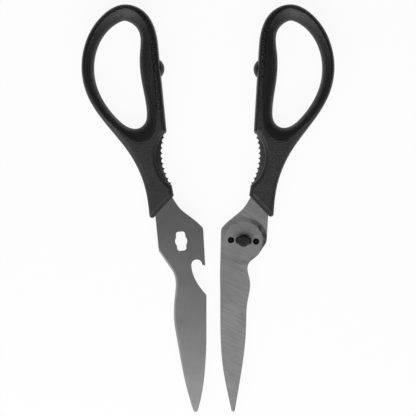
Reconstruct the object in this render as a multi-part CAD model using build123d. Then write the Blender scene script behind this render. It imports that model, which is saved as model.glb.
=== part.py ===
from build123d import *
import os

# Come-apart kitchen shears, as two halves that lie side by side with their handles on the table.
# Each half is drawn pivot at the origin, blade along -Y, handle along +Y and to the -X side, with
# +Z up and z = 0 under the handles. The right half is the mirror of that drawing. Then each half
# is turned to the way it lies and moved to its place.

# Whole object, millimetres
half_spacing = 34.5            # distance between the slot's centre and the stud's centre
stud_lead = 0.2                # the stud lies this much further from the tips' side than the slot
left_lay_angle = 5.5           # degrees that the slotted half is opened from straight
right_lay_angle = 3.3          # degrees that the stud half is opened from straight
blade_reach = 94.6             # from the pivot to the blade's tip
plate_half_width = 12.8        # blade plate at the pivot, each side of the centre line
plate_thickness = 2.6
running_gap = 0.1              # between the two blades' flat faces when assembled
overrun = 1.0                  # how far cutting tools pass a face

# Handles
left_handle_reach = 133.3      # from the pivot to the top of the loop
right_handle_reach = 132.0
left_handle_width = 45.85      # from the centre line to the loop's outermost point
right_handle_width = 44.8
handle_thickness = 13.0
inner_side_gap = 2.15          # from the centre line to the handle's straight inner side
handle_draft_inset = 0.3       # how far the side walls lean in from the middle height to a face
handle_edge_radius = 2.6       # rounding along the upper and lower edges
handle_tip_radius = 1.6        # rounding of the lower tip
lip_width = 1.7                # stepped strip along the slanted lower end
lip_drop = 2.4                 # how far the strip lies below the handle's face
lip_edge_bevel = 0.35

# Grip lining and the web of the hard handle inside it
lining_web_thickness = 4.8
lining_rim_bevel = 0.35        # height of the bevel round the lining, beside the handle

# Stop bumpers
bumper_diameter = 9.4
bumper_seat_depth = 2.0        # how deep the round pad sits in the handle's side
bumper_stem_diameter = 4.0
bumper_stem_length = 3.0

# Cutting edges
left_bevel_width = 1.0         # seen from above
right_bevel_width = 1.1
edge_land = 0.35               # steel left under the bevel, so that it isn't a knife edge
bevel_runout = 12.0            # how far the bevel's plane carries on past the cutting edge's upper end

# Jar and nut grip on the tangs
grip_gap_count = 10
grip_tooth_depth_share = 0.456  # of the width of a gap between two teeth

# Keyed pivot
slot_length = 10.5
slot_width = 5.1
slot_corner_radius = 1.45
slot_eye_diameter = 6.7
key_clearance = 0.65           # between the stud's key and the slot, each side
key_end_clearance = 0.75
neck_clearance = 0.08          # radial, stud neck in the slot's eye
axial_clearance = 0.15         # under the key's lobes
key_height = 1.9
key_corner_radius = 1.5
head_diameter = 5.3            # round middle of the stud's head
key_edge_bevel = 0.4
stud_flange_diameter = 8.6
stud_flange_height = 0.9
base_plate_length = 20.4
base_plate_width = 8.6
base_plate_thickness = 1.7
base_plate_bevel = 0.4
pin_spacing = 13.9
pin_diameter = 3.5
pin_recess = 0.4               # pin ends stay this far under the blade's inner face
pin_bevel = 0.85

# Corner roundings of the blade plates
shoulder_radius = 3.0
hook_tip_radius = 0.35
notch_corner_radius = 1.2
anchor_hole_share = 0.0345     # holes in the tang that the moulding fills, of the handle's reach

# Heights
mid_height = handle_thickness / 2
right_plate_floor = mid_height - running_gap / 2 - plate_thickness
left_plate_floor = mid_height + running_gap / 2

# Handle outline. Across shares run from the straight inner side (0) to the outermost point (1),
# along shares from the pivot (0) to the top of the loop (1).
handle_tip_share = (0.3204, 0.0913)
outer_curve_shares = (
    (0.338, 0.225), (0.486, 0.375), (0.782, 0.525), (0.958, 0.640), (1.000, 0.731),
    (0.938, 0.840), (0.680, 0.960), (0.392, 1.000), (0.150, 0.967), (0.032, 0.900),
)
straight_top_share = 0.800
grip_arc_top_share = 0.459
grip_arc_middle_share = (0.159, 0.355)
grip_arc_bottom_share = 0.235
diagonal_top_share = (-0.011, 0.190)
side_directions = ((0, 1), (0, -1))   # the outer curve leaves the tip upwards and ends downwards
direction_shares = (1, 1)             # how firmly a curve keeps to its end directions

# The finger loop, station by station round it from the top and down the outer side:
# the line where the lining meets the hard handle, then the edge of the hole.
lining_line_shares = (
    (0.409, 0.984), (0.661, 0.946), (0.840, 0.872), (0.941, 0.784), (0.943, 0.683),
    (0.849, 0.587), (0.688, 0.512), (0.522, 0.456), (0.352, 0.418), (0.187, 0.445),
    (0.111, 0.518), (0.086, 0.653), (0.086, 0.788), (0.125, 0.911), (0.244, 0.966),
)
hole_shares = (
    (0.432, 0.931), (0.627, 0.894), (0.753, 0.840), (0.828, 0.769), (0.830, 0.683),
    (0.743, 0.599), (0.592, 0.525), (0.468, 0.490), (0.354, 0.483), (0.262, 0.503),
    (0.228, 0.548), (0.251, 0.660), (0.246, 0.788), (0.237, 0.889), (0.315, 0.920),
)
# The lining's rounding: share of the way from the line to the hole, share of the half thickness
rounding_shares = ((0.08, 1.00), (0.35, 0.87), (0.70, 0.60), (0.92, 0.28), (1.00, 0.00))
web_reach_share = 0.60
rim_bevel_share = 0.06         # of the way from the line to the hole

# Tang, in the handle's shares
tooth_arc_bottom_share = (0.002, 0.247)
tooth_arc_middle_share = (0.074, 0.352)
tooth_arc_top_share = (0.006, 0.451)
tang_foot_share = (0.006, 0.183)
tang_foot_inner_share = (0.030, 0.215)
tang_foot_upper_share = (0.026, 0.236)
tang_top_shares = ((0.034, 0.466), (0.090, 0.462), (0.130, 0.433), (0.250, 0.392), (0.345, 0.372))
tang_outer_shares = ((0.325, 0.315), (0.255, 0.225))
anchor_hole_shares = ((0.235, 0.340), (0.150, 0.245))
bumper_along_share = 0.722

# Shoulder between tang and pivot plate, shares of the handle's reach down to the plate's corner,
# and of the plate's half width across
shoulder_shares = ((-0.095, 0.165), (0.075, 0.137), (0.285, 0.115))
shoulder_corner_share = 0.046
shoulder_top_share = (0.860, 0.0615)

# Blade outlines: shares of the plate's half width across and of the blade's reach down
left_corner_share = 0.046
left_cut_start_share = (0.515, 0.163)
left_cut_shares = (
    (0.402, 0.233), (0.492, 0.312), (0.625, 0.440), (0.572, 0.590), (0.450, 0.775), (0.172, 0.993),
)
left_tip_shares = ((0.070, 1.000), (-0.030, 0.989))
left_back_shares = ((-0.345, 0.855), (-0.560, 0.705))
left_back_straight_share = (-0.680, 0.585)
left_back_direction = (0.4, 1)
left_notch_corner_share = (-0.865, 0.327)
left_notch_shares = ((-0.565, 0.265), (-0.372, 0.196))
left_notch_side_share = (-0.340, 0.150)
left_notch_top_share = (-0.580, 0.1155)
left_hook_inner_share = (-0.808, 0.1495)
left_hook_tip_share = (-0.935, 0.1560)

right_corner_share = -0.010
right_edge_direction = (0.1, -1)
right_cut_shares = (
    (0.875, 0.029), (0.560, 0.092), (0.325, 0.121), (0.240, 0.158), (0.290, 0.193),
    (0.385, 0.240), (0.392, 0.285), (0.318, 0.360), (0.322, 0.490), (0.255, 0.735), (0.050, 0.993),
)
right_tip_shares = ((0.0, 1.000), (-0.105, 0.990))
right_back_shares = ((-0.365, 0.865), (-0.590, 0.735), (-0.775, 0.530))
right_back_straight_share = (-0.930, 0.210)


def handle_place(half, share):
    """Point of one half's drawing from an across and an along share of its handle."""
    across, along = share
    return Vector(-inner_side_gap - across * (half["width"] - inner_side_gap), along * half["reach"])


def blade_place(share):
    """Point of the drawing from shares of the pivot plate's half width and of the blade's reach."""
    across, down = share
    return Vector(-across * plate_half_width, -down * blade_reach)


def filled(edges):
    """Flat face inside a closed row of edges."""
    return make_face(Curve() + edges)


def slab(face, floor, height):
    """Straight prism over a face, from a floor height up."""
    return Pos(0, 0, floor) * extrude(face, height)


def loop_face(half, rim_share):
    """Face inside a closed smooth line round the finger loop, from the lining's line (0) to the hole (1)."""
    points = []
    for line_share, hole_share in zip(lining_line_shares, hole_shares):
        outer = handle_place(half, line_share)
        inner = handle_place(half, hole_share)
        points.append(outer + (inner - outer) * rim_share)
    return filled([Spline(*points, periodic=True)])


def handle_outline(half):
    """Edges of the handle's silhouette, clockwise from its lower tip: outer curve, straight inner
    side, grip arc, foot and slanted lower end."""
    tip = handle_place(half, handle_tip_share)
    straight_top = handle_place(half, (0, straight_top_share))
    arc_top = handle_place(half, (0, grip_arc_top_share))
    arc_bottom = handle_place(half, (0, grip_arc_bottom_share))
    diagonal_top = handle_place(half, diagonal_top_share)
    outer = [handle_place(half, share) for share in outer_curve_shares]
    return [
        Spline(tip, *outer, straight_top, tangents=side_directions, tangent_scalars=direction_shares),
        Line(straight_top, arc_top),
        ThreePointArc(arc_top, handle_place(half, grip_arc_middle_share), arc_bottom),
        Line(arc_bottom, diagonal_top),
        Line(diagonal_top, tip),
    ]


def inward(edge, position):
    """Unit vector to the inside of a clockwise outline."""
    along = edge % position
    return Vector(along.Y, -along.X)


def inset_corner(before, after, inset):
    """Corner of two edges that both move inwards."""
    first = inward(before, 1)
    second = inward(after, 0)
    return before @ 1 + (first + second) * (inset / (1 + first.dot(second)))


def inset_outline(half, inset):
    """The handle's silhouette drawn in all round, as its face at one height."""
    outer, straight, arc, foot, diagonal = handle_outline(half)
    tip = inset_corner(diagonal, outer, inset)
    straight_top = inset_corner(outer, straight, inset)
    arc_top = inset_corner(straight, arc, inset)
    arc_bottom = inset_corner(arc, foot, inset)
    diagonal_top = inset_corner(foot, diagonal, inset)
    places = []
    for share in outer_curve_shares:
        place = handle_place(half, share)
        places.append(place + inward(outer, outer.param_at_point(place)) * inset)
    arc_middle = arc @ 0.5 + inward(arc, 0.5) * inset
    face = filled([
        Spline(tip, *places, straight_top, tangents=side_directions, tangent_scalars=direction_shares),
        Line(straight_top, arc_top),
        ThreePointArc(arc_top, arc_middle, arc_bottom),
        Line(arc_bottom, diagonal_top),
        Line(diagonal_top, tip),
    ])
    return rounded(face, tip, handle_tip_radius)


def lip_cut(half):
    """What steps the slanted lower end down to its lip, on both faces."""
    diagonal = handle_outline(half)[-1]
    along = diagonal % 0
    end_room = lip_width + overrun
    top = mid_height + overrun
    origin = diagonal @ 0 - along * end_room + Vector(0, 0, mid_height)
    section = Plane(origin=origin, x_dir=inward(diagonal, 0), z_dir=along)
    profile = make_face(Polyline(
        (-end_room, mid_height - lip_drop),
        (lip_width, mid_height - lip_drop),
        (lip_width, mid_height - lip_edge_bevel),
        (lip_width + lip_edge_bevel + overrun, top),
        (-end_room, top),
        close=True,
    ))
    lower = extrude(section * profile, diagonal.length + 2 * end_room)
    return lower + mirror(lower, about=Plane.XY.offset(mid_height))


def loop_hollow(half):
    """What the finger loop takes out of the lining: the hole, flared to both faces."""
    faces = []
    for rim_share, height_share in rounding_shares:
        height = mid_height * height_share
        faces.append(Pos(0, 0, height) * loop_face(half, rim_share))
    upper = Pos(0, 0, mid_height) * loft(faces)
    return upper + mirror(upper, about=Plane.XY.offset(mid_height))


def lining_space(half, overlap):
    """Room for the lining round the handle's web, past the faces by an overlap."""
    side_height = mid_height - lining_web_thickness / 2
    line = loop_face(half, 0)
    lower = slab(line, -overlap, side_height + overlap)
    upper = slab(line, handle_thickness - side_height, side_height + overlap)
    core = slab(loop_face(half, web_reach_share), -overlap, handle_thickness + 2 * overlap)
    return lower + upper + core


def lining_rim(half):
    """Bevelled outer rim at the lining's upper face, which leaves a fine groove beside the handle."""
    shoulder = handle_thickness - lining_rim_bevel
    lower = Pos(0, 0, shoulder) * loop_face(half, 0)
    upper = Pos(0, 0, handle_thickness) * loop_face(half, rim_bevel_share)
    return slab(loop_face(half, 0), shoulder, lining_rim_bevel) - loft([lower, upper], ruled=True)


def grip_lining(half):
    """Flared lining round the finger hole. It stands a little proud of the handle's rounded faces."""
    rim = lining_rim(half)
    body = lining_space(half, 0) - rim - mirror(rim, about=Plane.XY.offset(mid_height))
    return body - loop_hollow(half)


def bumper_axis(half):
    """Place on the handle's inner side, half way up, with X pointing into the handle."""
    side = handle_place(half, (0, bumper_along_share))
    return Pos(side.X, side.Y, mid_height) * Rot(0, -90, 0)


def bumper(half):
    """Domed pad with a stem. The dome's top reaches the centre line, where the two pads meet."""
    radius = bumper_diameter / 2
    stem_radius = bumper_stem_diameter / 2
    end = bumper_seat_depth + bumper_stem_length
    profile = filled([
        Line((0, -inner_side_gap), (0, end)),
        Line((0, end), (stem_radius, end)),
        Line((stem_radius, end), (stem_radius, bumper_seat_depth)),
        Line((stem_radius, bumper_seat_depth), (radius, bumper_seat_depth)),
        Line((radius, bumper_seat_depth), (radius, 0)),
        dome_arc(radius, inner_side_gap),
    ])
    solid = revolve(Plane.XZ * profile, Axis.Z)
    return bumper_axis(half) * solid


def dome_arc(radius, height):
    """Arc of a spherical cap from its rim to its top."""
    sphere_radius = (radius ** 2 + height ** 2) / (2 * height)
    centre = sphere_radius - height
    half_way = radius / 2
    drop = centre - (sphere_radius ** 2 - half_way ** 2) ** 0.5
    return ThreePointArc((radius, 0), (half_way, drop), (0, -height))


def handle_envelope(half):
    """The whole handle with drafted sides and rounded edges, before anything is cut from it."""
    face = Pos(0, 0, mid_height) * inset_outline(half, handle_draft_inset)
    upper = loft([inset_outline(half, 0), face], ruled=True)
    upper = Pos(0, 0, mid_height) * fillet(upper.edges().group_by(Axis.Z)[-1], handle_edge_radius)
    return upper + mirror(upper, about=Plane.XY.offset(mid_height))


def handle(half):
    """Hard moulding, open for the lining, the bumper and the steel tang."""
    body = handle_envelope(half) - lip_cut(half) - lining_space(half, overrun)
    return body - bumper(half) - tang_pocket(half)


def tooth_scallops(half):
    """Toothed edge of the tang: scallops side by side along an arc, with sharp tips between."""
    start = handle_place(half, tooth_arc_bottom_share)
    middle = handle_place(half, tooth_arc_middle_share)
    end = handle_place(half, tooth_arc_top_share)
    arc = ThreePointArc(start, middle, end)
    centre = arc.arc_center
    scallops = []
    for gap in range(grip_gap_count):
        first = arc @ (gap / grip_gap_count)
        last = arc @ ((gap + 1) / grip_gap_count)
        top = arc @ ((gap + 1 / 2) / grip_gap_count)
        depth = (last - first).length * grip_tooth_depth_share
        valley = top + (top - centre).normalized() * depth
        scallops.append(ThreePointArc(first, valley, last))
    return scallops


def shoulder(half):
    """Back of the plate between the tang's foot and the pivot plate's corner."""
    places = [Vector(across * plate_half_width, along * half["reach"]) for across, along in shoulder_shares]
    top_across, top_along = shoulder_top_share
    top = Vector(top_across * plate_half_width, top_along * half["reach"])
    corner = Vector(plate_half_width, shoulder_corner_share * half["reach"])
    return places, top, corner


def heel_place(half):
    """End of the plate's straight cutting side, beside the handle's lower tip."""
    return Vector(-plate_half_width, half["reach"] * handle_tip_share[1])


def tang_foot(half):
    """The plate's back side where it goes into the handle, up to the toothed edge."""
    shares = (tang_foot_share, tang_foot_inner_share, tang_foot_upper_share, tooth_arc_bottom_share)
    return [handle_place(half, share) for share in shares]


def tang_top(half):
    """Hidden end and outer side of the tang, from the toothed edge round to the heel."""
    shares = (tooth_arc_top_share, *tang_top_shares, *tang_outer_shares)
    return [handle_place(half, share) for share in shares] + [heel_place(half)]


def tang_edges(half):
    """The plate's edges from its foot in the handle's lower end, up the teeth, round to the heel."""
    foot = tang_foot(half)
    top = tang_top(half)
    edges = [Line(a, b) for a, b in zip(foot, foot[1:])]
    edges += tooth_scallops(half)
    edges += [Line(a, b) for a, b in zip(top, top[1:])]
    return edges


def tang_pocket(half):
    """Room for the tang in the handle: the plate without its teeth, with plugs in its anchor holes."""
    foot = tang_foot(half)
    heel = heel_place(half)
    face = make_face(Polyline(*foot, *tang_top(half), (foot[0].X, heel.Y), close=True))
    return slab(face - anchor_holes(half), half["plate_floor"], plate_thickness)


def rounded(face, point, radius):
    """Rounds the face's corner nearest to a point."""
    corner = face.vertices().sort_by_distance(point)[0]
    return fillet(corner, radius)


def left_cutting_curve():
    cut = [blade_place(share) for share in left_cut_shares]
    return Spline(blade_place(left_cut_start_share), *cut)


def right_cutting_curve():
    cut = [blade_place(share) for share in right_cut_shares]
    directions = (right_edge_direction, right_edge_direction)
    start = blade_place((1, right_corner_share))
    return Spline(start, *cut, tangents=directions, tangent_scalars=direction_shares)


def left_plate_face(half):
    """Slotted blade with its tang: wavy cutting side, hook in the back."""
    corner = blade_place((1, left_corner_share))
    cutting = left_cutting_curve()
    tip = [blade_place(share) for share in left_tip_shares]
    back = [blade_place(share) for share in left_back_shares]
    back_straight = blade_place(left_back_straight_share)
    notch_corner = blade_place(left_notch_corner_share)
    notch = [blade_place(share) for share in left_notch_shares]
    notch_side = blade_place(left_notch_side_share)
    notch_top = blade_place(left_notch_top_share)
    hook_inner = blade_place(left_hook_inner_share)
    hook_tip = blade_place(left_hook_tip_share)
    places, top, plate_corner = shoulder(half)
    edges = tang_edges(half)
    edges += [
        Line(heel_place(half), corner),
        Line(corner, cutting @ 0),
        cutting,
        ThreePointArc(cutting @ 1, *tip),
        Spline(tip[-1], *back, back_straight, tangents=(left_back_direction, notch_corner - back_straight)),
        Line(back_straight, notch_corner),
        Spline(notch_corner, *notch, notch_side),
        ThreePointArc(notch_side, notch_top, hook_inner),
        Line(hook_inner, hook_tip),
        Line(hook_tip, plate_corner),
        Line(plate_corner, top),
        Spline(top, *places[::-1], handle_place(half, tang_foot_share)),
    ]
    face = filled(edges)
    face = rounded(face, corner, shoulder_radius)
    face = rounded(face, plate_corner, shoulder_radius)
    face = rounded(face, notch_corner, notch_corner_radius)
    face = rounded(face, hook_tip, hook_tip_radius)
    return face


def right_plate_face(half):
    """Stud blade with its tang: bone notch in the cutting side, straight back."""
    cutting = right_cutting_curve()
    tip = [blade_place(share) for share in right_tip_shares]
    back = [blade_place(share) for share in right_back_shares]
    back_straight = blade_place(right_back_straight_share)
    places, top, plate_corner = shoulder(half)
    edges = tang_edges(half)
    edges += [
        Line(heel_place(half), cutting @ 0),
        cutting,
        ThreePointArc(cutting @ 1, *tip),
        Spline(tip[-1], *back, back_straight),
        Line(back_straight, plate_corner),
        Line(plate_corner, top),
        Spline(top, *places[::-1], handle_place(half, tang_foot_share)),
    ]
    face = filled(edges)
    face = rounded(face, plate_corner, shoulder_radius)
    return face


def anchor_holes(half):
    radius = half["reach"] * anchor_hole_share / 2
    holes = Sketch()
    for share in anchor_hole_shares:
        place = handle_place(half, share)
        holes += Pos(place.X, place.Y) * Circle(radius)
    return holes


def keyhole_slot():
    """Slot along the blade with a round eye at the pivot."""
    return RectangleRounded(slot_width, slot_length, slot_corner_radius) + Circle(slot_eye_diameter / 2)


def neck_radius():
    return slot_eye_diameter / 2 - neck_clearance


def bevel_cutter(runout, cutting_curve, land_height, outer_height, bevel_width):
    """Slanted prism outside the cutting curve and the straight line from the runout into it. It lies
    clear of the edge's land, crosses the edge's wall above it and goes out past the outer face."""
    start = cutting_curve @ 0
    end = cutting_curve @ 1
    far = -plate_half_width - bevel_runout - overrun
    low = -blade_reach - overrun
    region = filled([
        Line(runout, start),
        cutting_curve,
        Line(end, (end.X, low)),
        Line((end.X, low), (far, low)),
        Line((far, low), (far, runout.Y)),
        Line((far, runout.Y), runout),
    ])
    rise = outer_height - land_height
    lean = Vector(bevel_width, 0, rise) / abs(rise)
    first = lean * -overrun
    length = lean.length * (abs(rise) + 2 * overrun)
    return Pos(first.X, 0, land_height + first.Z) * extrude(region, length, dir=lean)


def left_plate(half):
    """Its bevel starts at the shoulder's corner and fades out there."""
    face = left_plate_face(half) - keyhole_slot() - anchor_holes(half)
    plate = slab(face, left_plate_floor, plate_thickness)
    cutting = left_cutting_curve()
    corner = blade_place((1, left_corner_share))
    runout = corner + (corner - cutting @ 0).normalized() * bevel_runout
    land = left_plate_floor + edge_land
    outer = left_plate_floor + plate_thickness
    return plate - bevel_cutter(runout, cutting, land, outer, left_bevel_width)


def right_plate(half):
    """Its bevel is on the lower face and fades out on the way up to the handle."""
    face = right_plate_face(half) - anchor_holes(half) - Circle(neck_radius())
    face = face - pin_circles()
    plate = slab(face, right_plate_floor, plate_thickness)
    cutting = right_cutting_curve()
    runout = cutting @ 0 - (cutting % 0) * bevel_runout
    land = right_plate_floor + plate_thickness - edge_land
    return plate - bevel_cutter(runout, cutting, land, right_plate_floor, right_bevel_width)


def pin_circles():
    return GridLocations(pin_spacing, 0, 2, 1) * Circle(pin_diameter / 2)


def locating_pins():
    """Two pins through base plate and blade, their ends bevelled and under the blade's inner face."""
    floor = right_plate_floor - base_plate_thickness
    height = base_plate_thickness + plate_thickness - pin_recess
    pins = [bevelled_slab(circle, floor, height, pin_bevel) for circle in pin_circles()]
    return pins[0] + pins[1]


def bevelled_slab(face, floor, height, bevel):
    """Straight prism with its upper edge bevelled."""
    prism = slab(face, floor, height)
    return chamfer(prism.edges().group_by(Axis.Z)[-1], bevel)


def pivot_stud():
    """Riveted flange, neck through plate and blades, and keyed head. The key lies across the blade,
    so that it passes the slot only with the halves square to each other."""
    floor = right_plate_floor - base_plate_thickness
    key_floor = left_plate_floor + plate_thickness + axial_clearance
    key_length = slot_length - 2 * key_end_clearance
    key_width = slot_width - 2 * key_clearance
    flange = slab(Circle(stud_flange_diameter / 2), floor, stud_flange_height)
    neck = slab(Circle(neck_radius()), floor, key_floor - floor)
    head = bevelled_slab(Circle(head_diameter / 2), key_floor, key_height, key_edge_bevel)
    key_face = RectangleRounded(key_length, key_width, key_corner_radius)
    key = bevelled_slab(key_face, key_floor, key_height, key_edge_bevel)
    return flange + neck + head + key


def base_plate():
    floor = right_plate_floor - base_plate_thickness
    plate = slab(SlotOverall(base_plate_length, base_plate_width), floor, base_plate_thickness)
    plate = chamfer(plate.edges().group_by(Axis.Z)[0], base_plate_bevel)
    return plate - pivot_stud() - locating_pins()


def laid_out(half, shape):
    """Turns and moves a finished shape of one half's drawing to where that half lies."""
    if half["mirrored"]:
        shape = mirror(shape, about=Plane.YZ)
    return Pos(half["pivot_x"], half["pivot_y"], 0) * Rot(0, 0, half["turn"]) * shape


left_half = {
    "reach": left_handle_reach, "width": left_handle_width, "mirrored": False,
    "turn": left_lay_angle, "pivot_x": -half_spacing / 2, "pivot_y": -stud_lead / 2,
    "plate_floor": left_plate_floor,
}
right_half = {
    "reach": right_handle_reach, "width": right_handle_width, "mirrored": True,
    "turn": -right_lay_angle, "pivot_x": half_spacing / 2, "pivot_y": stud_lead / 2,
    "plate_floor": right_plate_floor,
}


def all_nodes():
    """Every piece by name, each laid out on the table."""
    left = {
        "left_blade": left_plate(left_half),
        "left_handle": handle(left_half),
        "left_grip_lining": grip_lining(left_half),
        "left_bumper": bumper(left_half),
    }
    right = {
        "right_blade": right_plate(right_half),
        "right_handle": handle(right_half),
        "right_grip_lining": grip_lining(right_half),
        "right_bumper": bumper(right_half),
        "pivot_stud": pivot_stud(),
        "pivot_base_plate": base_plate(),
        "locating_pins": locating_pins(),
    }
    nodes = {name: laid_out(left_half, shape) for name, shape in left.items()}
    nodes.update({name: laid_out(right_half, shape) for name, shape in right.items()})
    return nodes


nodes = all_nodes()
boxes = [shape.bounding_box() for shape in nodes.values()]
low = Vector(*(min(values) for values in zip(*(tuple(box.min) for box in boxes))))
high = Vector(*(max(values) for values in zip(*(tuple(box.max) for box in boxes))))
middle = (low + high) / 2
centring = Pos(-middle.X, -middle.Y, -low.Z)

os.makedirs("parts", exist_ok=True)
for name, shape in nodes.items():
    export_step(centring * shape, f"parts/{name}.step")

print("size", high - low)
for half in (left_half, right_half):
    print("pivot", round(half["pivot_x"] - middle.X, 3), round(half["pivot_y"] - middle.Y, 3))
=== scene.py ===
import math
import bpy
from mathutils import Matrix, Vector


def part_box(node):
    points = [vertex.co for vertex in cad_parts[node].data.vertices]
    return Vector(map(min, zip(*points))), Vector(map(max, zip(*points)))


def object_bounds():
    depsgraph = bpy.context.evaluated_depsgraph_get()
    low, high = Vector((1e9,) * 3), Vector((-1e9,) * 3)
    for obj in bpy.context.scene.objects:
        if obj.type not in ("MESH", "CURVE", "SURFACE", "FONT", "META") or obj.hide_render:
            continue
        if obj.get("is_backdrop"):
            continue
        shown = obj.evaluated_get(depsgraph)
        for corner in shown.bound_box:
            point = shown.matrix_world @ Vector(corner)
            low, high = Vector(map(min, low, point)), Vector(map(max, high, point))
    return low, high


bl_info = {
    "name": "Kitchen shears studio",
    "version": (1, 0, 0),
    "blender": (4, 5, 0),
    "location": "3D View > Sidebar > Shears",
    "description": (
        "Ground steel, moulded plastic and studio light for a pair of take-apart kitchen shears"
    ),
    "category": "Object",
}

import bpy

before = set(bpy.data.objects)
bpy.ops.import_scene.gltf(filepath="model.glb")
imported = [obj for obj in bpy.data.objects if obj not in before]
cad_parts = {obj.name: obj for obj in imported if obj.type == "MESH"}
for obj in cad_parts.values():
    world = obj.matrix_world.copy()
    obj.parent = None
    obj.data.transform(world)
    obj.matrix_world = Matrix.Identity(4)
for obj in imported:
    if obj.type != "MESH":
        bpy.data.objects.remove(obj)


# ---------------------------------------------------------------- fixed values
#
# Lengths are in metres and angles in radians. Limits are the two values of a noise, or the two
# places, between which something changes from its first state to its second.

SLOT_PLACE = (-0.014844, -0.018315)     # middle of the slotted blade's keyhole slot
FLAT = (1.0, 1.0, 0.0)                  # keeps X and Y and drops the height

# Steel. A stretch below 1 draws a pattern out in that direction.
LINE_STRETCH = (0.05, 1.0, 0.3)
STREAK_STRETCH = (0.12, 1.0, 0.3)
HAIR_STRETCH = (0.03, 1.0, 0.3)
CLOUD_STRETCH = (1.0, 0.6, 1.0)
STREAKS_PER_LINE = 0.30
HAIRS_PER_LINE = 3.5
HAIR_TURN = math.radians(3.0)           # hair scratches cross the lines at this angle
CLOUDS_PER_METRE = 110.0
LINE_SHARE = 0.7                        # of the relief, and the hair scratches make the rest
HAIR_SHARE = 0.3
LINE_LIMITS = (0.36, 0.64)
LINE_SHADE = 0.88
STREAK_LIMITS = (0.35, 0.65)
STREAK_SHADE = 0.12
GLOSS_LIMITS = (0.3, 0.7)
GLOSS_SPREAD = 0.25                     # change of roughness for a contrast of 1
CLOUD_LIMITS = (0.3, 0.7)
CLOUD_SHADE = 0.86

SATIN_DIRECTION = math.radians(80.0)
SATIN_PITCH = 0.0005
SATIN_CONTRAST = 0.05
SATIN_ROUGHNESS = 0.32
GROUND_CONTRAST = 0.20
GROUND_ROUGHNESS = 0.58

# Painted shade: the steel darkened towards the jar grip's teeth, beside the handles
GRIP_SHADE_LIMITS = (0.012, 0.026)         # along Y, from the blades up to the teeth
GRIP_SHADE_DARKNESS = 0.36

# Rub marks round the stud, by distance from it
RUB_WAVES_PER_METRE = 260.0
RUB_WAVE = 0.0016
RUB_RIM_START = (0.0112, 0.0119)
RUB_RIM_END = (0.0136, 0.0146)
RUB_MIDDLE = 0.42                       # direction of the darkest place
RUB_NEAR_LIMITS = (0.35, 1.1)           # angle to either side of it
RUB_NEAR_SHARES = (1.0, 0.25)
RUB_FAR_LIMITS = (2.2, 3.0)
RUB_PATCH_LIMITS = (0.35, 0.6)
RUB_PATCH_SHARES = (0.6, 1.0)
RUB_DARKNESS = 0.86
RUB_DISC_LIMITS = (0.0110, 0.0120)
RUB_DISC_SMOOTHNESS = 0.45
PLAIN_SHADE = 0.5                       # halfway between the darkest and the lightest steel

# Relief and edges
METAL_EDGE = 0.00015
METAL_RELIEF_DEPTH = 0.00002
STEEL_RELIEF = 0.25
TURNED_RELIEF = 0.3
PLASTIC_EDGE = 0.00025
PLASTIC_RELIEF = 0.6

# Turned metal and pins
RINGS_PER_METRE = 5000.0
PATCHES_PER_METRE = 600.0
TURNED_LIMITS = (0.35, 0.65)
TURNED_SHADES = (0.7, 1.4)
TURNED_ROUGHNESS = (0.34, 0.52)
PIN_RIM_SHADE_LIMITS = (0.0004, 0.0008)      # distance from a pin's middle
PIN_RIM_SHADE_SHARES = (0.25, 0.7)                # painted shade on the rim, the pin's own colour in the middle
PIN_RING_LIMITS = (0.3, 0.7)
PIN_ROUGHNESS = (0.35, 0.5)

# Moulded plastic
SPECKS_PER_GRAIN = 0.8
SPECK_LIMITS = (0.4, 0.62)
SPECK_SHADES = (0.6, 1.6)
WORN_PER_METRE = 60.0
WORN_LIMITS = (0.35, 0.65)
WORN_ROUGHNESS = 0.03
PIT_LIMITS = (0.4, 0.6)
PIT_ROUGHNESS = 0.09
HELD_LIMITS = (0.020, 0.080)            # along Y, from the grip arc up to the finger loops
HANDLE_FINISH = {"roughness": 0.55, "polish": 0.30, "depth": 0.00038, "gloss": 0.68}
LINING_FINISH = {"roughness": 0.46, "polish": 0.0, "depth": 0.00036, "gloss": 0.52}
BUMPER_FINISH = {"roughness": 0.4, "polish": 0.0, "depth": 0.00002, "gloss": 0.4}

# Studio
FLOOR_REACH = 3.0
FLOOR_GAP = 0.0002                      # under the handles
FLOOR_GLOW = 0.93
LAMP_PLACE = (-0.10, -0.48, 0.48)
LAMP_SIZE = (1.0, 0.9)
SENSOR_WIDTH = 36.0                     # millimetres, as Blender has it
SIGHT = 20.0                            # how far the camera sees

# The plain room, by the direction looked in: -1 to 1 along Y and Z
ROOM_DIM = (0.02, 0.02, 0.02, 1.0)
ROOM_PALE = (0.6, 0.6, 0.6, 1.0)
FRONT_LIMITS = (0.3, -0.8)
CEILING_LIMITS = (0.9, 0.3)
CEILING_SHARES = (0.1, 1.0)
BEHIND_LIMITS = (0.0, 0.5)
BEHIND_SHARES = (0.0, 0.42)
WALL_TOP_LIMITS = (0.97, 0.85)
WALL_FOOT_LIMITS = (0.15, 0.45)
WALL_FOOT_SHARES = (0.4, 1.0)


# ---------------------------------------------------------------- places read from the frame


def middle(node):
    """Middle of a CAD node's box."""
    low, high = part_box(node)
    return (low + high) / 2


def slot_centre():
    """Middle of the keyhole slot, half way up the slotted blade."""
    low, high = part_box("left_blade")
    return (*SLOT_PLACE, (low.z + high.z) / 2)


# ---------------------------------------------------------------- node helpers


def add(tree, kind, sockets=None, **settings):
    """Adds a shader node, sets what the keywords name, and fills or links its sockets."""
    node = tree.nodes.new(kind)
    for name, value in settings.items():
        setattr(node, name, value)
    for key, value in (sockets or {}).items():
        socket = node.inputs[key]
        if isinstance(value, bpy.types.NodeSocket):
            tree.links.new(value, socket)
        else:
            socket.default_value = value
    return node


def fresh_material(name):
    """An empty material of that name, with its output node."""
    material = bpy.data.materials.get(name) or bpy.data.materials.new(name)
    material.use_nodes = True
    material.node_tree.nodes.clear()
    output = add(material.node_tree, "ShaderNodeOutputMaterial")
    return material, material.node_tree, output


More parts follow.
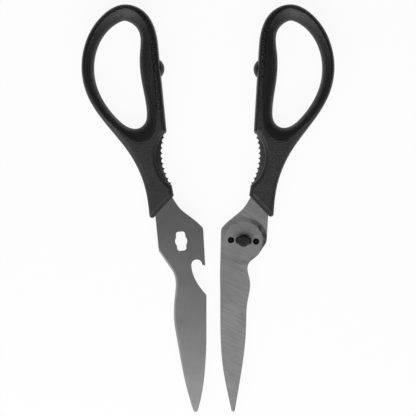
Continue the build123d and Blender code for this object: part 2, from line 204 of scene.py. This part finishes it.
def turned_place(tree, centre, angle, stretch):
    """Coordinates in metres about a centre, turned flat by an angle, then stretched."""
    coordinates = add(tree, "ShaderNodeTexCoord")
    about = add(
        tree,
        "ShaderNodeVectorMath",
        {0: coordinates.outputs["Object"], 1: centre},
        operation="SUBTRACT",
    )
    turned = add(
        tree,
        "ShaderNodeVectorRotate",
        {"Vector": about.outputs[0], "Axis": (0, 0, 1), "Angle": angle},
        rotation_type="AXIS_ANGLE",
    )
    scaled = add(
        tree,
        "ShaderNodeVectorMath",
        {0: turned.outputs[0], 1: stretch},
        operation="MULTIPLY",
    )
    return scaled.outputs[0]


def apart(tree, vector):
    """The three numbers of a vector."""
    return add(tree, "ShaderNodeSeparateXYZ", {0: vector}).outputs


def distance(tree, place):
    """How far a place lies from the coordinates' zero."""
    return add(tree, "ShaderNodeVectorMath", {0: place}, operation="LENGTH").outputs["Value"]


def noise(tree, place, scale, detail=2.0, roughness=0.5):
    """Soft noise from 0 to 1, with so many waves in a metre."""
    return add(
        tree,
        "ShaderNodeTexNoise",
        {"Vector": place, "Scale": scale, "Detail": detail, "Roughness": roughness},
    ).outputs["Fac"]


def ranged(tree, value, source, target):
    """Maps a value from one range to another, held at its ends."""
    return add(
        tree,
        "ShaderNodeMapRange",
        {
            "Value": value,
            "From Min": source[0],
            "From Max": source[1],
            "To Min": target[0],
            "To Max": target[1],
        },
    ).outputs[0]


def math_node(tree, operation, *values):
    """One step of arithmetic on numbers or sockets."""
    return add(tree, "ShaderNodeMath", dict(enumerate(values)), operation=operation).outputs[0]


def tinted(tree, factor, dark, light):
    """A colour between two others."""
    mix = add(
        tree,
        "ShaderNodeMix",
        {"Factor": factor, "A": dark, "B": light},
        data_type="RGBA",
    )
    return mix.outputs["Result"]


def tone(colour, share):
    """A colour made darker or lighter by a share."""
    return tuple(channel * share for channel in tuple(colour)[:3]) + (1.0,)


def tones(colour, shares):
    """Two shades of a colour, each by its own share."""
    return [tone(colour, share) for share in shares]


def dress(names, material):
    """Puts a material in the first slot of each named CAD node."""
    for name in names:
        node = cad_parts[name]
        if node.data.materials:
            node.data.materials[0] = material
        else:
            node.data.materials.append(material)


# ---------------------------------------------------------------- sizes and colours


class SteelLooks(bpy.types.PropertyGroup):
    slotted_colour: bpy.props.FloatVectorProperty(
        name="Slotted blade",
        description="Colour of the slotted blade's satin outer face",
        subtype="COLOR",
        size=3,
        min=0.0,
        max=1.0,
        default=(0.285, 0.285, 0.289),
    )
    stud_colour: bpy.props.FloatVectorProperty(
        name="Stud blade",
        description="Colour of the stud blade's ground inner face",
        subtype="COLOR",
        size=3,
        min=0.0,
        max=1.0,
        default=(0.284, 0.284, 0.284),
    )
    scratch_pitch: bpy.props.FloatProperty(
        name="Grinding pitch",
        description="Mean distance between grinding lines on the stud blade",
        subtype="DISTANCE",
        unit="LENGTH",
        min=0.0001,
        max=0.003,
        default=0.0006,
    )
    scratch_angle: bpy.props.FloatProperty(
        name="Grinding direction",
        description="Direction of the grinding lines, turned from the X axis",
        subtype="ANGLE",
        unit="ROTATION",
        default=math.radians(-27.0),
    )
    pivot_colour: bpy.props.FloatVectorProperty(
        name="Pivot metal",
        description="Colour of the stud, its base plate and the locating pins",
        subtype="COLOR",
        size=3,
        min=0.0,
        max=1.0,
        default=(0.035, 0.035, 0.037),
    )
    pin_spacing: bpy.props.FloatProperty(
        name="Pin spacing",
        description="Distance between the two locating pins",
        subtype="DISTANCE",
        unit="LENGTH",
        min=0.005,
        max=0.03,
        default=0.0139,
    )
    pin_turn: bpy.props.FloatProperty(
        name="Pin row",
        description="Angle between the row of pins and the X axis",
        subtype="ANGLE",
        unit="ROTATION",
        default=math.radians(3.3),
    )


class PlasticLooks(bpy.types.PropertyGroup):
    handle_colour: bpy.props.FloatVectorProperty(
        name="Handle",
        description="Colour of the moulded handles",
        subtype="COLOR",
        size=3,
        min=0.0,
        max=1.0,
        default=(0.0035, 0.0035, 0.0038),
    )
    lining_colour: bpy.props.FloatVectorProperty(
        name="Lining",
        description="Colour of the finger loops' linings",
        subtype="COLOR",
        size=3,
        min=0.0,
        max=1.0,
        default=(0.005, 0.005, 0.0053),
    )
    bumper_colour: bpy.props.FloatVectorProperty(
        name="Bumper",
        description="Colour of the rubber bumpers",
        subtype="COLOR",
        size=3,
        min=0.0,
        max=1.0,
        default=(0.003, 0.003, 0.003),
    )
    grain_size: bpy.props.FloatProperty(
        name="Grain",
        description="Distance between grains of the moulded surface",
        subtype="DISTANCE",
        unit="LENGTH",
        min=0.0001,
        max=0.002,
        default=0.0009,
    )


class StudioLooks(bpy.types.PropertyGroup):
    camera_height: bpy.props.FloatProperty(
        name="Camera height",
        description="Height of the camera above the middle of the slotted blade",
        subtype="DISTANCE",
        unit="LENGTH",
        min=0.3,
        max=5.0,
        default=1.5,
    )
    view_width: bpy.props.FloatProperty(
        name="View width",
        description="Width that the picture takes in at the blades' height",
        subtype="DISTANCE",
        unit="LENGTH",
        min=0.05,
        max=2.0,
        default=0.2299,
    )
    light_power: bpy.props.FloatProperty(
        name="Light power",
        description="Power of the broad lamp in front of the blade tips",
        subtype="POWER",
        unit="POWER",
        min=0.0,
        max=200.0,
        default=7.0,
    )
    floor_colour: bpy.props.FloatVectorProperty(
        name="Floor",
        description="Colour of the floor and backdrop",
        subtype="COLOR",
        size=3,
        min=0.0,
        max=1.0,
        default=(0.9, 0.9, 0.9),
    )


# ---------------------------------------------------------------- steel


def softened(tree, radius, height, strength, depth):
    """Normal with slightly rounded edges and the height as fine relief."""
    edge = add(tree, "ShaderNodeBevel", {"Radius": radius}, samples=4)
    bump = add(
        tree,
        "ShaderNodeBump",
        {
            "Strength": strength,
            "Distance": depth,
            "Height": height,
            "Normal": edge.outputs["Normal"],
        },
    )
    return bump.outputs["Normal"]


def ground_steel(name, colour, centre, angle, pitch, contrast, roughness, rubs=False):
    """Steel with grinding lines in one direction, broad streaks, cloudy patches, scratches and
    painted shade towards the jar grip's teeth.
    """
    material, tree, output = fresh_material(name)
    line_place = turned_place(tree, centre, -angle, LINE_STRETCH)
    lines = noise(tree, line_place, 1.0 / pitch, detail=3.0, roughness=0.65)
    streak_place = turned_place(tree, centre, -angle, STREAK_STRETCH)
    streaks = noise(tree, streak_place, STREAKS_PER_LINE / pitch)
    hair_place = turned_place(tree, centre, -angle - HAIR_TURN, HAIR_STRETCH)
    hair = noise(tree, hair_place, HAIRS_PER_LINE / pitch, roughness=0.6)
    cloud_place = turned_place(tree, centre, angle, CLOUD_STRETCH)
    cloud = noise(tree, cloud_place, CLOUDS_PER_METRE, detail=4.0, roughness=0.6)

    relief = math_node(
        tree, "MULTIPLY_ADD", hair, HAIR_SHARE, math_node(tree, "MULTIPLY", lines, LINE_SHARE)
    )
    shade = math_node(
        tree,
        "ADD",
        ranged(tree, relief, LINE_LIMITS, (0.0, LINE_SHADE)),
        ranged(tree, streaks, STREAK_LIMITS, (0.0, STREAK_SHADE)),
    )
    spread = contrast * GLOSS_SPREAD
    rough = ranged(tree, relief, GLOSS_LIMITS, (roughness + spread, roughness - spread))
    patches = ranged(tree, cloud, CLOUD_LIMITS, (CLOUD_SHADE, 1.0))
    # Random cloudy patches times the painted shade towards the grip's teeth
    patches_and_painted_grip_shade = math_node(tree, "MULTIPLY", patches, painted_grip_shade(tree))
    if rubs:
        shade, patches_and_painted_grip_shade = rubbed(tree, centre, shade, patches_and_painted_grip_shade)
    base = tinted(tree, shade, *tones(colour, (1.0 - contrast, 1.0 + contrast)))
    # The base colour times the patches, the painted grip shade and, on the stud blade, the rub
    # marks
    worn = add(
        tree,
        "ShaderNodeMix",
        {"Factor": 1.0, "A": base, "B": patches_and_painted_grip_shade},
        data_type="RGBA",
        blend_type="MULTIPLY",
    )
    steel = add(
        tree,
        "ShaderNodeBsdfPrincipled",
        {
            "Base Color": worn.outputs["Result"],
            "Metallic": 1.0,
            "Roughness": rough,
            "Normal": softened(tree, METAL_EDGE, relief, STEEL_RELIEF, METAL_RELIEF_DEPTH),
        },
    )
    tree.links.new(steel.outputs[0], output.inputs["Surface"])
    return material


def painted_grip_shade(tree):
    """Painted shade: the steel made darker from the blades up to the jar grip's teeth."""
    place = add(tree, "ShaderNodeTexCoord").outputs["Object"]
    return ranged(tree, apart(tree, place)["Y"], GRIP_SHADE_LIMITS, (1.0, GRIP_SHADE_DARKNESS))


def rubbed(tree, centre, shade, patches_and_painted_grip_shade):
    """Marks that the other blade has worn round the stud: a smooth disc and its dark rim."""
    place = turned_place(tree, centre, 0.0, FLAT)
    parts = apart(tree, place)
    turn = math_node(tree, "ARCTAN2", parts["Y"], parts["X"])
    wave = noise(tree, place, RUB_WAVES_PER_METRE, detail=3.0, roughness=0.6)
    radius = math_node(tree, "MULTIPLY_ADD", wave, RUB_WAVE, distance(tree, place))

    start = ranged(tree, radius, RUB_RIM_START, (0.0, 1.0))
    end = ranged(tree, radius, RUB_RIM_END, (1.0, 0.0))
    rim = math_node(tree, "MULTIPLY", start, end)
    away = math_node(tree, "ABSOLUTE", math_node(tree, "SUBTRACT", turn, RUB_MIDDLE))
    near = ranged(tree, away, RUB_NEAR_LIMITS, RUB_NEAR_SHARES)
    sector = math_node(tree, "MULTIPLY", near, ranged(tree, away, RUB_FAR_LIMITS, (1.0, 0.0)))
    dark = math_node(tree, "MULTIPLY", rim, sector)
    patch = ranged(tree, wave, RUB_PATCH_LIMITS, RUB_PATCH_SHARES)
    dark = math_node(tree, "MULTIPLY", dark, patch)
    kept = math_node(tree, "MULTIPLY_ADD", dark, -RUB_DARKNESS, 1.0)

    disc = ranged(tree, radius, RUB_DISC_LIMITS, (RUB_DISC_SMOOTHNESS, 0.0))
    smooth = add(
        tree,
        "ShaderNodeMix",
        {"Factor": disc, "A": shade, "B": PLAIN_SHADE},
        data_type="FLOAT",
    )
    return smooth.outputs["Result"], math_node(tree, "MULTIPLY", patches_and_painted_grip_shade, kept)


# ---------------------------------------------------------------- pivot metal


def ringed(tree, radius):
    """Noise that changes with the radius alone, which makes rings."""
    step = math_node(tree, "MULTIPLY", radius, RINGS_PER_METRE)
    place = add(tree, "ShaderNodeCombineXYZ", {0: step}).outputs[0]
    return noise(tree, place, 1.0, roughness=0.6)


def plated(tree, output, base, rough, rings):
    """Metal with a base colour, a roughness and rings as its relief."""
    metal = add(
        tree,
        "ShaderNodeBsdfPrincipled",
        {
            "Base Color": base,
            "Metallic": 1.0,
            "Roughness": rough,
            "Normal": softened(tree, METAL_EDGE, rings, TURNED_RELIEF, METAL_RELIEF_DEPTH),
        },
    )
    tree.links.new(metal.outputs[0], output.inputs["Surface"])


def turned_metal(name, colour, centre):
    """Dark plated metal with rings left by turning it."""
    material, tree, output = fresh_material(name)
    place = turned_place(tree, centre, 0.0, FLAT)
    rings = ringed(tree, distance(tree, place))
    patches = noise(tree, place, PATCHES_PER_METRE, detail=3.0, roughness=0.6)
    half = math_node(tree, "MULTIPLY", patches, 0.5)
    shade = math_node(tree, "MULTIPLY_ADD", rings, 0.5, half)
    light = ranged(tree, shade, TURNED_LIMITS, (0.0, 1.0))
    base = tinted(tree, light, *tones(colour, TURNED_SHADES))
    plated(tree, output, base, ranged(tree, shade, TURNED_LIMITS, TURNED_ROUGHNESS), rings)
    return material


def riveted_metal(name, colour, centre, spacing, angle):
    """Dark pins, each with painted shade on its rim and its own colour in the middle."""
    material, tree, output = fresh_material(name)
    parts = apart(tree, turned_place(tree, centre, angle, FLAT))
    outward = math_node(tree, "ABSOLUTE", parts["X"])
    across = math_node(tree, "SUBTRACT", outward, spacing / 2)
    own_place = add(tree, "ShaderNodeCombineXYZ", {0: across, 1: parts["Y"]}).outputs[0]
    radius = distance(tree, own_place)
    rings = ringed(tree, radius)
    # Painted shade: each pin's rim darkened where it sits recessed in its hole
    unshaded_middle = ranged(tree, radius, PIN_RIM_SHADE_LIMITS, (1.0, 0.0))
    base = tinted(tree, unshaded_middle, *tones(colour, PIN_RIM_SHADE_SHARES))
    plated(tree, output, base, ranged(tree, rings, PIN_RING_LIMITS, PIN_ROUGHNESS), rings)
    return material


# ---------------------------------------------------------------- plastic


def moulded_plastic(name, colour, grain, roughness, polish, depth, gloss):
    """Dark moulded plastic with a spark-eroded grain, which hands have polished at the loops."""
    material, tree, output = fresh_material(name)
    place = turned_place(tree, (0.0, 0.0, 0.0), 0.0, (1.0, 1.0, 1.0))
    pits = noise(tree, place, 1.0 / grain, detail=3.0, roughness=0.75)
    speck = noise(tree, place, SPECKS_PER_GRAIN / grain, roughness=0.6)
    worn = noise(tree, place, WORN_PER_METRE, detail=4.0, roughness=0.6)
    light = ranged(tree, speck, SPECK_LIMITS, (0.0, 1.0))
    base = tinted(tree, light, *tones(colour, SPECK_SHADES))
    held = ranged(tree, apart(tree, place)["Y"], HELD_LIMITS, (roughness, roughness - polish))
    uneven = ranged(tree, worn, WORN_LIMITS, (-WORN_ROUGHNESS, WORN_ROUGHNESS))
    pitted = ranged(tree, pits, PIT_LIMITS, (-PIT_ROUGHNESS, PIT_ROUGHNESS))
    rough = math_node(tree, "ADD", math_node(tree, "ADD", held, uneven), pitted)
    plastic = add(
        tree,
        "ShaderNodeBsdfPrincipled",
        {
            "Base Color": base,
            "Roughness": rough,
            "Specular IOR Level": gloss,
            "Normal": softened(tree, PLASTIC_EDGE, pits, PLASTIC_RELIEF, depth),
        },
    )
    tree.links.new(plastic.outputs[0], output.inputs["Surface"])
    return material


# ---------------------------------------------------------------- studio


def pale_floor(colour, height):
    """Floor that shows near white to the camera and in reflections and keeps the shadow."""
    material, tree, output = fresh_material("studio_floor")
    matt = add(tree, "ShaderNodeBsdfDiffuse", {"Color": tone(colour, 1.0)})
    glow = add(tree, "ShaderNodeEmission", {"Color": (1.0, 1.0, 1.0, 1.0), "Strength": 1.0})
    path = add(tree, "ShaderNodeLightPath").outputs
    seen = math_node(tree, "ADD", path["Is Camera Ray"], path["Is Glossy Ray"])
    seen = math_node(tree, "ADD", seen, path["Is Transmission Ray"])
    share = math_node(tree, "MULTIPLY", math_node(tree, "MINIMUM", seen, 1.0), FLOOR_GLOW)
    mix = add(tree, "ShaderNodeMixShader", {0: share, 1: matt.outputs[0], 2: glow.outputs[0]})
    tree.links.new(mix.outputs[0], output.inputs["Surface"])

    mesh = bpy.data.meshes.new("studio_floor")
    signs = [(-1, -1), (1, -1), (1, 1), (-1, 1)]
    corners = [(x * FLOOR_REACH, y * FLOOR_REACH, height) for x, y in signs]
    mesh.from_pydata(corners, [], [(0, 1, 2, 3)])
    mesh.materials.append(material)
    return bpy.data.objects.new("studio_floor", mesh)


def plain_surroundings(scene):
    """A plain room: pale in front of the blade tips, dimmer behind the finger loops."""
    world = scene.world or bpy.data.worlds.new("plain_room")
    scene.world = world
    world.use_nodes = True
    tree = world.node_tree
    tree.nodes.clear()
    output = add(tree, "ShaderNodeOutputWorld")
    direction = apart(tree, add(tree, "ShaderNodeTexCoord").outputs["Generated"])
    front = ranged(tree, direction["Y"], FRONT_LIMITS, (0.0, 1.0))
    ceiling = ranged(tree, direction["Z"], CEILING_LIMITS, CEILING_SHARES)
    lit = math_node(tree, "MULTIPLY", front, ceiling)
    behind = ranged(tree, direction["Y"], BEHIND_LIMITS, BEHIND_SHARES)
    wall = math_node(
        tree,
        "MULTIPLY",
        ranged(tree, direction["Z"], WALL_TOP_LIMITS, (0.0, 1.0)),
        ranged(tree, direction["Z"], WALL_FOOT_LIMITS, WALL_FOOT_SHARES),
    )
    share = math_node(tree, "MULTIPLY_ADD", behind, wall, lit)
    room = tinted(tree, share, ROOM_DIM, ROOM_PALE)
    glow = add(tree, "ShaderNodeBackground", {"Color": room, "Strength": 1.0})
    tree.links.new(glow.outputs[0], output.inputs["Surface"])


def soft_lamp(scene, name, place, size, power):
    """Broad soft lamp aimed at the middle of the shears."""
    lamp = bpy.data.lights.new(name, "AREA")
    lamp.shape = "RECTANGLE"
    lamp.size, lamp.size_y = size
    lamp.energy = power
    holder = bpy.data.objects.new(name, lamp)
    holder.location = place
    aim = -holder.location
    holder.rotation_euler = aim.to_track_quat("-Z", "Y").to_euler()
    scene.collection.objects.link(holder)


def straight_camera(scene, height, width):
    """Camera straight above the middle, which takes in the given width at the blades' height."""
    lens = bpy.data.cameras.new("overhead_camera")
    lens.sensor_width = SENSOR_WIDTH
    lens.lens = lens.sensor_width * height / width
    lens.clip_end = SIGHT
    camera = bpy.data.objects.new("overhead_camera", lens)
    camera.location = (0.0, 0.0, middle("left_blade").z + height)
    scene.collection.objects.link(camera)
    scene.camera = camera


# ---------------------------------------------------------------- one operator per piece or group


class SHEARS_OT_slotted_blade(bpy.types.Operator):
    """Gives the slotted blade its satin steel"""

    bl_idname = "shears.slotted_blade"
    bl_label = "Slotted blade"

    def execute(self, context):
        steel = ground_steel(
            "satin_blade_steel",
            context.scene.shears_steel.slotted_colour,
            slot_centre(),
            SATIN_DIRECTION,
            SATIN_PITCH,
            SATIN_CONTRAST,
            SATIN_ROUGHNESS,
        )
        dress(["left_blade"], steel)
        return {"FINISHED"}


class SHEARS_OT_stud_blade(bpy.types.Operator):
    """Gives the stud blade its ground steel with the rub marks round the stud"""

    bl_idname = "shears.stud_blade"
    bl_label = "Stud blade"

    def execute(self, context):
        looks = context.scene.shears_steel
        steel = ground_steel(
            "ground_blade_steel",
            looks.stud_colour,
            tuple(middle("pivot_stud")),
            looks.scratch_angle,
            looks.scratch_pitch,
            GROUND_CONTRAST,
            GROUND_ROUGHNESS,
            rubs=True,
        )
        dress(["right_blade"], steel)
        return {"FINISHED"}


class SHEARS_OT_pivot(bpy.types.Operator):
    """Gives the stud, its base plate and the locating pins their plated metal"""

    bl_idname = "shears.pivot"
    bl_label = "Pivot metal"

    def execute(self, context):
        looks = context.scene.shears_steel
        stud_place = tuple(middle("pivot_stud"))
        metal = turned_metal("plated_pivot_metal", looks.pivot_colour, stud_place)
        dress(["pivot_stud", "pivot_base_plate"], metal)
        pins = riveted_metal(
            "pin_metal_with_painted_rim_shade",
            looks.pivot_colour,
            tuple(middle("locating_pins")),
            looks.pin_spacing,
            looks.pin_turn,
        )
        dress(["locating_pins"], pins)
        return {"FINISHED"}


class SHEARS_OT_handles(bpy.types.Operator):
    """Gives both handles their moulded plastic"""

    bl_idname = "shears.handles"
    bl_label = "Handles"

    def execute(self, context):
        looks = context.scene.shears_plastic
        plastic = moulded_plastic(
            "grained_handle_plastic", looks.handle_colour, looks.grain_size, **HANDLE_FINISH
        )
        dress(["left_handle", "right_handle"], plastic)
        return {"FINISHED"}


class SHEARS_OT_linings(bpy.types.Operator):
    """Gives the finger loops' linings their softer plastic"""

    bl_idname = "shears.linings"
    bl_label = "Loop linings"

    def execute(self, context):
        looks = context.scene.shears_plastic
        plastic = moulded_plastic(
            "soft_lining_plastic", looks.lining_colour, looks.grain_size, **LINING_FINISH
        )
        dress(["left_grip_lining", "right_grip_lining"], plastic)
        return {"FINISHED"}


class SHEARS_OT_bumpers(bpy.types.Operator):
    """Gives the bumpers their rubber"""

    bl_idname = "shears.bumpers"
    bl_label = "Bumpers"

    def execute(self, context):
        looks = context.scene.shears_plastic
        rubber = moulded_plastic(
            "bumper_rubber", looks.bumper_colour, looks.grain_size, **BUMPER_FINISH
        )
        dress(["left_bumper", "right_bumper"], rubber)
        return {"FINISHED"}


class SHEARS_OT_studio(bpy.types.Operator):
    """Sets up the floor, the lamp, the plain surroundings and the camera"""

    bl_idname = "shears.studio"
    bl_label = "Studio"

    def execute(self, context):
        scene = context.scene
        looks = scene.shears_studio
        low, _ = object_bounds()
        floor = pale_floor(looks.floor_colour, low.z - FLOOR_GAP)
        scene.collection.objects.link(floor)
        floor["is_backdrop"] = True
        plain_surroundings(scene)
        soft_lamp(scene, "front_lamp", LAMP_PLACE, LAMP_SIZE, looks.light_power)
        straight_camera(scene, looks.camera_height, looks.view_width)
        scene.view_settings.view_transform = "Standard"
        return {"FINISHED"}


# ---------------------------------------------------------------- panel and registration


class SHEARS_PT_sidebar(bpy.types.Panel):
    """Lists the shears' sizes, colours and steps"""

    bl_idname = "SHEARS_PT_sidebar"
    bl_label = "Kitchen shears"
    bl_space_type = "VIEW_3D"
    bl_region_type = "UI"
    bl_category = "Shears"

    def draw(self, context):
        for scene_name in GROUPS:
            group = getattr(context.scene, scene_name)
            for name in group.__annotations__:
                self.layout.prop(group, name)
        for operator in OPERATORS:
            self.layout.operator(operator.bl_idname)


GROUPS = {
    "shears_steel": SteelLooks,
    "shears_plastic": PlasticLooks,
    "shears_studio": StudioLooks,
}
OPERATORS = (
    SHEARS_OT_slotted_blade,
    SHEARS_OT_stud_blade,
    SHEARS_OT_pivot,
    SHEARS_OT_handles,
    SHEARS_OT_linings,
    SHEARS_OT_bumpers,
    SHEARS_OT_studio,
)


def register():
    for name, group in GROUPS.items():
        bpy.utils.register_class(group)
        setattr(bpy.types.Scene, name, bpy.props.PointerProperty(type=group))
    for operator in OPERATORS:
        bpy.utils.register_class(operator)
    bpy.utils.register_class(SHEARS_PT_sidebar)


def unregister():
    bpy.utils.unregister_class(SHEARS_PT_sidebar)
    for operator in reversed(OPERATORS):
        bpy.utils.unregister_class(operator)
    for name, group in reversed(GROUPS.items()):
        delattr(bpy.types.Scene, name)
        bpy.utils.unregister_class(group)


def main():
    """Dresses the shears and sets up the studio."""
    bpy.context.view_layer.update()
    register()
    bpy.ops.shears.slotted_blade()
    bpy.ops.shears.stud_blade()
    bpy.ops.shears.pivot()
    bpy.ops.shears.handles()
    bpy.ops.shears.linings()
    bpy.ops.shears.bumpers()
    bpy.ops.shears.studio()


if __name__ == "__main__":
    main()
